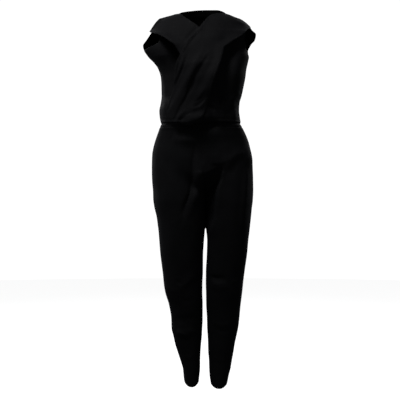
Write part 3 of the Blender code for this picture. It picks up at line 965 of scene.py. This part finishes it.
def make_mesh(name, points, faces, material):
    mesh = bpy.data.meshes.new(name)
    mesh.from_pydata(points, [], faces)
    mesh.validate()
    mesh.materials.append(material)
    return add_object(name, mesh)


def inmost(across):
    """1 at a trouser piece's inseam, where across is 1 or -1, and 0 far from it."""
    return ease(np.abs(across), 0.85, 1)


def shell(node, form, grid, shared, lift, edges, closed=False, slide=None, sink=None):
    """A piece of cloth over a grid of places on a form.

    lift(points, normal, distances, across) gives how far each point is moved out of the form,
    slide(points, across) how far along x, for a trouser piece, and sink(points, distances) how far back.
    """
    across, height = grid
    points = form(across, height)
    normal = outward_normal(form, across, height)
    distances = edge_distances(points)
    out = lift(points, normal, distances, across) + finish_edges(distances, edges)
    if slide:
        out = out * (1 - inmost(across) * np.abs(normal[..., 0]))
    outer = points + normal * out[..., None]
    outer[..., 1] += straight_back(points) - stand_forward(node, points, distances)
    if slide:
        outer[..., 0] += slide(points, across)
    if sink:
        outer[..., 1] += sink(points, distances)

    skins = [run_out(outer, closed), run_out(outer - normal * CLOTH, closed)]
    rows, columns = across.shape
    faces = wall_faces(rows, columns, closed)
    piece = make_mesh(f"cloth_{node}", np.concatenate(skins).reshape(-1, 3), faces, shared.cloth)
    # The inner skins take the inside material, whose darker colour paints the shade inside the garment.
    piece.data.materials.append(shared.inside)
    skin_faces = (rows - 1) * (columns if closed else columns - 1)
    inside = np.zeros(len(faces), np.int32)
    inside[skin_faces : 2 * skin_faces] = 1
    piece.data.polygons.foreach_set("material_index", inside)
    piece.data.shade_smooth()
    piece.data.set_sharp_from_angle(angle=math.radians(60))
    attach(piece, "root")
    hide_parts(node)

    area = float((step_lengths(outer, 1)[:-1] * step_lengths(outer, 0)[:, :-1]).sum())
    return Shell(node, piece, outer, normal, distances, area)


# ---- grids on the bodice ----


def side_fade(turn):
    from_side = np.abs(90 - np.abs(turn))
    return ease(from_side, 0, SIDE_FADE) * ease(180 - np.abs(turn), 0, CENTRE_BACK_FADE)


def even_rows(table, middle):
    """A table's columns, read so that the rows lie SPACING apart where middle(columns) gives points."""
    index = np.arange(len(table))
    fine = np.linspace(0, index[-1], 1200)
    length = run_lengths(middle([smooth(index, column, fine) for column in table.T]))
    count = int(length[-1] / SPACING) + 2
    at = np.interp(np.linspace(0, length[-1], count), length, fine)
    return [smooth(index, column, at)[:, None] for column in table.T]


def front_grid(name, columns):
    """The turns and heights of a front piece's points, between its inner and its outer edge."""
    table = numbers(PATCHES[name]) * MM
    for x, height in ((0, 1), (2, 3)):
        table[:, x] = bodice_turn(table[:, x], table[:, height])

    def middle(edges):
        inner_turn, inner_height, outer_turn, outer_height = edges
        return (bodice_form(inner_turn, inner_height) + bodice_form(outer_turn, outer_height)) / 2

    inner_turn, inner_height, outer_turn, outer_height = even_rows(table, middle)
    share = np.linspace(0, 1, columns)
    height = mix(inner_height, outer_height, share)
    even_turn = mix(inner_turn, outer_turn, share)
    inner_x = bodice_form(inner_turn, inner_height)[..., 0]
    outer_x = bodice_form(outer_turn, outer_height)[..., 0]
    even_x = bodice_turn(mix(inner_x, outer_x, share), height)
    from_top = run_lengths(bodice_form(even_turn, height)[:, columns // 2])[:, None]
    use_x = ease(height / MM, *YOKE) * ease(from_top / MM, 0, SHOULDER_FADE)
    return mix(even_turn, even_x, use_x), height


def back_grid(name, side, columns):
    """The turns and heights of a back piece's points, from centre back to its outer edge."""
    way = outward(side)
    table = numbers(BACKS[name])
    table[:, [1, 2]] *= MM

    def middle(edges):
        outer_turn, outer_height, centre_height = edges
        seam = bodice_form(np.full_like(outer_turn, 180.0), centre_height)
        return (bodice_form(outer_turn, outer_height) + seam) / 2

    outer_turn, outer_height, centre_height = even_rows(table, middle)
    share = np.linspace(0, 1, columns)
    height = mix(centre_height, outer_height, share)
    outer = bodice_form(way * outer_turn, outer_height)[..., 0]
    (top, top_seam_x), (bottom, bottom_seam_x) = np.array(CENTRE_BACK) * MM
    seam_x = mix(top_seam_x, bottom_seam_x, (top - centre_height) / (top - bottom))
    seam_turn = way * 180 - bodice_turn(seam_x, centre_height)
    across_x = mix(seam_x, outer, share)

    neck_turn, neck_height = numbers(BACK_NECK[side]).T
    neck_height = neck_height * MM
    neck = share <= BACK_NECK_SHARE
    top_turn = np.where(neck, 180 - 90 * share / BACK_NECK_SHARE, 90)
    past_neck = (share - BACK_NECK_SHARE) / (1 - BACK_NECK_SHARE)
    shoulder = mix(neck_height[0], outer_height[0], past_neck)
    top_height = np.where(neck, smooth(neck_turn, neck_height, top_turn), shoulder)
    top_x = bodice_form(way * top_turn, top_height)[..., 0]

    bend = ease(1 - (top - centre_height) / (NECK_BEND_DEEP * MM))
    across_x = across_x + bend * (top_x - across_x[0])
    height = height + bend * (top_height - height[0])
    even_x = way * 180 - bodice_turn(across_x, height)
    turn = mix(mix(seam_turn, way * outer_turn, share), even_x, ease(height / MM, *YOKE))
    turn[0] = way * top_turn
    return turn, height


def anticlockwise(across, height):
    """The grid, turned where it has to be so that across grows anticlockwise."""
    if across[-1, 0] > across[-1, -1]:
        return across[:, ::-1], height[:, ::-1]
    return across, height


# ---- the pieces ----


def bodice_lift(name, folds, layers):
    """The lift of a bodice piece that lies on as many others as layers says."""

    def lift(points, normal, distances, across):
        from_waist = distances["bottom"] / MM
        flat = FLAT_CLOSER * ease(normal[..., 2], *LIES_FLAT)
        sewn = SEWN_CLOSER * ease(from_waist, SEWN_DEEP, 0)
        alone = ALONE_CLOSER * ease(points[..., 0] / MM, *ALONE)
        out = layers * LAYER * (1 - flat) * (1 - sewn) * (1 - alone)
        fade = side_fade(across) * ease(from_waist, *WAIST_FADE)
        out = out + fade * (fold_height(folds, points) + crease_height(CREASES.get(name, ()), points))
        return out + unevenness(points) * ease(from_ends(distances) / MM, 0, EVEN_AT_SEAM)

    return lift


def build_front(side, shared):
    name = f"bodice_front_{side}"
    outer, inner = ("left", "right") if side == "right" else ("right", "left")

    def sink(points, distances):
        free = HOLLOW_FADE * MM * ease(points[..., 2] / MM, *ARMHOLE_FREE)
        sewn = np.minimum(distances[outer] + free, from_ends(distances))
        return -crease_height(CREASES[f"hollow_{side}"], points) * ease(sewn / MM, 0, HOLLOW_FADE)

    grid = anticlockwise(*front_grid(name, FRONT_COLUMNS))
    edges = SEWN_ROUND | {inner: "turned"}
    lift = bodice_lift(name, FOLDS["front"], 0)
    return shell(name, bodice_form, grid, shared, lift, edges, sink=sink)


def build_back(side, shared):
    name = f"bodice_back_{side}"
    grid = anticlockwise(*back_grid(name, side, BACK_COLUMNS))
    edges = SEWN_ROUND | {"top": "turned"}
    return shell(name, bodice_form, grid, shared, bodice_lift(name, FOLDS[name], 0), edges)


def build_band(name, layers, folds, shared):
    grid = anticlockwise(*front_grid(name, BAND_COLUMNS[name]))
    edges = SEWN_ROUND | {"left": "turned", "right": "turned"}
    return shell(name, bodice_form, grid, shared, bodice_lift(name, folds, layers), edges)


def build_casing(shared):
    def lift(points, normal, distances, across):
        gathers = waves(points * (1, 1, 0.15), GATHER_WAVES, seed=8)
        return GATHER_HIGH * MM * gathers * ease(from_ends(distances) / MM, 0, GATHER_FADE)

    turn = np.arange(CASING_COLUMNS) * 360 / CASING_COLUMNS
    height = np.linspace(WAIST_SEAM, TROUSER_TOP, CASING_ROWS)[:, None] * MM
    grid = [np.array(part) for part in np.broadcast_arrays(turn, height)]
    edges = {"top": "seam", "bottom": "seam"}
    return shell("waist_casing", casing_form, grid, shared, lift, edges, closed=True)


def even_shares(side, face, heights, columns):
    """For each height, the shares that part the ring there into equal lengths."""
    fine = np.linspace(0, 1, 301)
    rows = []
    for height in heights:
        length = run_lengths(trouser_form(side, face, fine, np.full_like(fine, height)))
        rows.append(np.interp(np.linspace(0, length[-1], columns), length, fine))
    return np.array(rows)


def build_trouser(side, face, shared):
    name = f"trouser_{face}_{side}"
    way = outward(side) if face == "back" else -outward(side)  # across is the share, turned by this

    def form(across, height):
        return trouser_form(side, face, across * way, height)

    def lift(points, normal, distances, across):
        share = np.abs(across)
        fade = ease(share, 0, TROUSER_FADE) * ease(1 - share, 0, TROUSER_FADE)
        out = fade * (fold_height(FOLDS[name], points) + crease_height(CREASES[name], points))
        return out + unevenness(points) * ease(distances["top"] / MM, 0, EVEN_AT_SEAM)

    def slide(points, across):
        height = points[..., 2] / MM
        leg = LEG.read(points[..., 2])
        gap = np.maximum(leg.left_in - leg.right_in, 0) / 2
        meet = ease(height, *THIGHS_MEET) * ease(height, *THIGHS_PART)
        return -outward(side) * (gap + THIGHS_OVERLAP * MM) * meet * inmost(across)

    count = int((TROUSER_TOP - HEM[side]) * MM / SPACING) + 2
    levels = np.linspace(TROUSER_TOP, HEM[side], count)
    share = even_shares(side, face, levels * MM, TROUSER_COLUMNS)
    height = np.repeat(levels[:, None], TROUSER_COLUMNS, axis=1)
    if face == "front":
        dip = HEM_DIP * np.sin(np.pi * share) ** HEM_DIP_BEND
        height -= dip * ease(height, HEM_DIP_FROM, HEM[side])
    grid = anticlockwise(share * way, height * MM)
    edges = SEWN_ROUND | {"bottom": "hem"}
    return shell(name, form, grid, shared, lift, edges, slide=slide)


# ---- stitches ----


def stitch_row(made, edge, inset, pitch, length):
    """The ends and the upward directions of a row of stitches, `inset` millimetres in from an edge."""

    def from_edge(values):
        if edge in ("top", "bottom"):
            values = values.swapaxes(0, 1)
        return values[:, ::-1] if edge in ("right", "bottom") else values

    def at_inset(values):
        lines = zip(from_edge(values), from_edge(made.distances[edge]) / MM)
        return np.array([[np.interp(inset, d, line[:, k]) for k in range(3)] for line, d in lines])

    path, ups = at_inset(made.outer), at_inset(made.normal)
    run = run_lengths(path) / MM
    at = np.arange(pitch, run[-1] - pitch, pitch)

    def read(values, s):
        return np.stack([np.interp(s, run, values[:, k]) for k in range(3)], axis=-1)

    return read(path, at - length / 2), read(path, at + length / 2), unit(read(ups, at))


def stitches(name, rows, shared):
    """One mesh of many short threads, each a low five-sided spindle that sinks in at its ends."""
    a, b, up = (np.concatenate(part) for part in zip(*rows))
    way = b - a
    side = unit(np.cross(up, way))
    half = THREAD / 2 * MM
    points = [
        a + along * way + up * (half * rise) + side * (s * half * wide) + up * (u * half * wide)
        for along, rise, wide in THREAD_PROFILE
        for s, u in THREAD_RING
    ]
    points = np.stack(points, axis=1)
    faces = grid_quads(len(THREAD_PROFILE), len(THREAD_RING), True)
    every = np.arange(len(points))[:, None, None] * points.shape[1] + faces
    piece = make_mesh(name, points.reshape(-1, 3), every.reshape(-1, 4), shared.thread)
    piece.data.shade_smooth()
    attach(piece, "root")
    return piece


# ---- materials ----


class Nodes:
    """Adds nodes to a material or a world. Numbers and colours go to the node's own sockets."""

    def __init__(self, owner):
        owner.use_nodes = True
        self.tree = owner.node_tree

    def feed(self, node, inputs):
        """Sets a node's inputs, or links them where the value is another node's output."""
        for name, value in inputs.items():
            if isinstance(value, bpy.types.NodeSocket):
                self.tree.links.new(value, node.inputs[name])
            else:
                node.inputs[name].default_value = value

    def add(self, kind, inputs, **settings):
        node = self.tree.nodes.new(kind)
        for name, value in settings.items():
            setattr(node, name, value)
        self.feed(node, inputs)
        return node.outputs

    def place(self):
        return self.add("ShaderNodeTexCoord", {})["Object"]

    def bump(self, height, strength, distance, **settings):
        inputs = {"Height": height, "Strength": strength, "Distance": distance}
        return self.add("ShaderNodeBump", inputs, **settings)["Normal"]


def new_material(name, shader_inputs):
    material = bpy.data.materials.new(name)
    nodes = Nodes(material)
    shader = nodes.tree.nodes["Principled BSDF"]
    nodes.feed(shader, shader_inputs)
    return material, nodes, shader


def cloth_material():
    """Matt black crepe: a pebbled grain, a crinkle and a little variation in its depth of black."""
    inputs = {"Roughness": 0.78, "Metallic": 0, "IOR": 1.42, "Specular IOR Level": 0.3}
    sheen = {"Sheen Weight": 0.03, "Sheen Roughness": 0.5, "Sheen Tint": (0.55, 0.6, 0.75, 1)}
    material, nodes, shader = new_material("black_crepe", inputs | sheen)
    place = nodes.place()
    patches = nodes.add("ShaderNodeTexNoise", {"Vector": place, "Scale": 16, "Detail": 4})
    colour = nodes.add("ShaderNodeValToRGB", {"Fac": patches["Fac"]})["Color"]
    darker, lighter = colour.node.color_ramp.elements
    darker.position, lighter.position = 0.3, 0.7
    darker.color = (0.0085, 0.0085, 0.0100, 1)
    lighter.color = (0.0115, 0.0115, 0.0135, 1)
    grain = nodes.add(
        "ShaderNodeTexVoronoi",
        {"Vector": place, "Scale": 950, "Smoothness": 0.6, "Randomness": 0.9},
        feature="SMOOTH_F1",
    )
    crinkle = nodes.add("ShaderNodeTexNoise", {"Vector": place, "Scale": 260, "Detail": 3})
    pebble = nodes.bump(grain["Distance"], 0.55, 0.00018, invert=True)
    surface = nodes.bump(crinkle["Fac"], 0.4, 0.0004)
    nodes.feed(surface.node, {"Normal": pebble})
    nodes.feed(shader, {"Base Color": colour, "Normal": surface})
    return material


def inside_shade_material():
    """The wrong side of the cloth: duller than the right side, and darker, a painted shade for the
    garment's insides.
    """
    inputs = {"Base Color": (0.003, 0.003, 0.0035, 1), "Roughness": 0.95, "Metallic": 0}
    material, nodes, shader = new_material("black_crepe_inside_shade", inputs | {"Specular IOR Level": 0.1})
    grain = nodes.add("ShaderNodeTexNoise", {"Vector": nodes.place(), "Scale": 700})
    nodes.feed(shader, {"Normal": nodes.bump(grain["Fac"], 0.4, 0.0002)})
    return material


def thread_material():
    """Black polyester thread, a little glossier than the cloth and twisted."""
    inputs = {"Base Color": (0.014, 0.014, 0.016, 1), "Roughness": 0.5, "Metallic": 0}
    material, nodes, shader = new_material("black_thread", inputs)
    twist = nodes.add("ShaderNodeTexWave", {"Vector": nodes.place(), "Scale": 900})
    nodes.feed(shader, {"Normal": nodes.bump(twist["Fac"], 0.3, 0.00005)})
    return material


def floor_material():
    inputs = {"Base Color": (0.9, 0.9, 0.9, 1), "Roughness": 0.9, "Specular IOR Level": 0}
    glow = {"Emission Color": (1, 1, 1, 1), "Emission Strength": 0.93}
    return new_material("pale_floor", inputs | glow)[0]


# ---- camera, light and floor ----


def build_world(scene):
    """A dim, slightly blue light all round, which the camera sees as white."""
    scene.world = bpy.data.worlds.new("studio")
    nodes = Nodes(scene.world)
    dim = nodes.tree.nodes["Background"]
    nodes.feed(dim, {"Color": (0.9, 0.95, 1, 1), "Strength": AMBIENT})
    white = nodes.add("ShaderNodeBackground", {"Color": (1, 1, 1, 1), "Strength": 1.05})
    ray = nodes.add("ShaderNodeLightPath", {})
    mix = nodes.add(
        "ShaderNodeMixShader",
        {"Fac": ray["Is Camera Ray"], 1: dim.outputs["Background"], 2: white["Background"]},
    )
    nodes.feed(nodes.tree.nodes["World Output"], {"Surface": mix["Shader"]})


def build_stage():
    scene = bpy.context.scene
    scene.view_settings.view_transform = "Standard"
    camera = add_object("camera", bpy.data.cameras.new("camera"))
    camera.data.sensor_width = 36
    camera.data.lens = camera.data.sensor_width * CAMERA_AWAY / VIEW_SIDE
    camera.location = (VIEW_MIDDLE[0], -CAMERA_AWAY, VIEW_MIDDLE[1])
    camera.rotation_euler = (math.radians(90), 0, 0)
    scene.camera = camera
    build_world(scene)

    for name, place, target, size, power in LIGHTS:
        light = bpy.data.lights.new(name, "AREA")
        light.shape = "DISK"
        light.size = size
        light.energy = power
        lamp = add_object(name, light)
        lamp.location = place
        way = Vector(target) - Vector(place)
        lamp.rotation_euler = way.to_track_quat("-Z", "Y").to_euler()
        lamp.visible_camera = False

    rim = np.radians(np.arange(0, 360, 5))
    height = np.full_like(rim, FLOOR_HEIGHT)
    corners = np.stack([FLOOR_RADIUS * np.cos(rim), FLOOR_RADIUS * np.sin(rim), height], axis=-1)
    floor = make_mesh("floor", corners, np.arange(len(rim))[None, :], floor_material())
    floor.visible_diffuse = floor.visible_glossy = False  # white to look at, and no light to the cloth


# ---- the whole ----


def declare_sheet(one):
    """Works out a shell's flat width, along the form and round the whole of the casing, and leaves it
    unused.
    """
    width = float(one.distances["left"][:, -1].max())
    if one.node == "waist_casing":
        loop = np.concatenate([one.outer, one.outer[:, :1]], axis=1)
        width = float(step_lengths(loop, 1).sum(axis=1).max())


def main():
    shared = Shared(cloth_material(), inside_shade_material(), thread_material())
    made = []
    for side in SIDES:
        made += [build_front(side, shared), build_back(side, shared)]
    made.append(build_band("wrap_under", 1, FOLDS["front"], shared))
    made.append(build_band("wrap_over", 2, FOLDS["front"] + FOLDS["wrap_over"], shared))
    made.append(build_casing(shared))
    made += [build_trouser(side, face, shared) for side in SIDES for face in FACES]

    pieces = {one.node: one for one in made}
    for sewing in SEWING:
        sizes = (sewing.inset, sewing.pitch, sewing.length)
        rows = [stitch_row(pieces[name], edge, *sizes) for name in sewing.pieces for edge in sewing.edges]
        stitches(sewing.name, rows, shared)
    for one in made:
        declare_sheet(one)
    build_stage()


main()
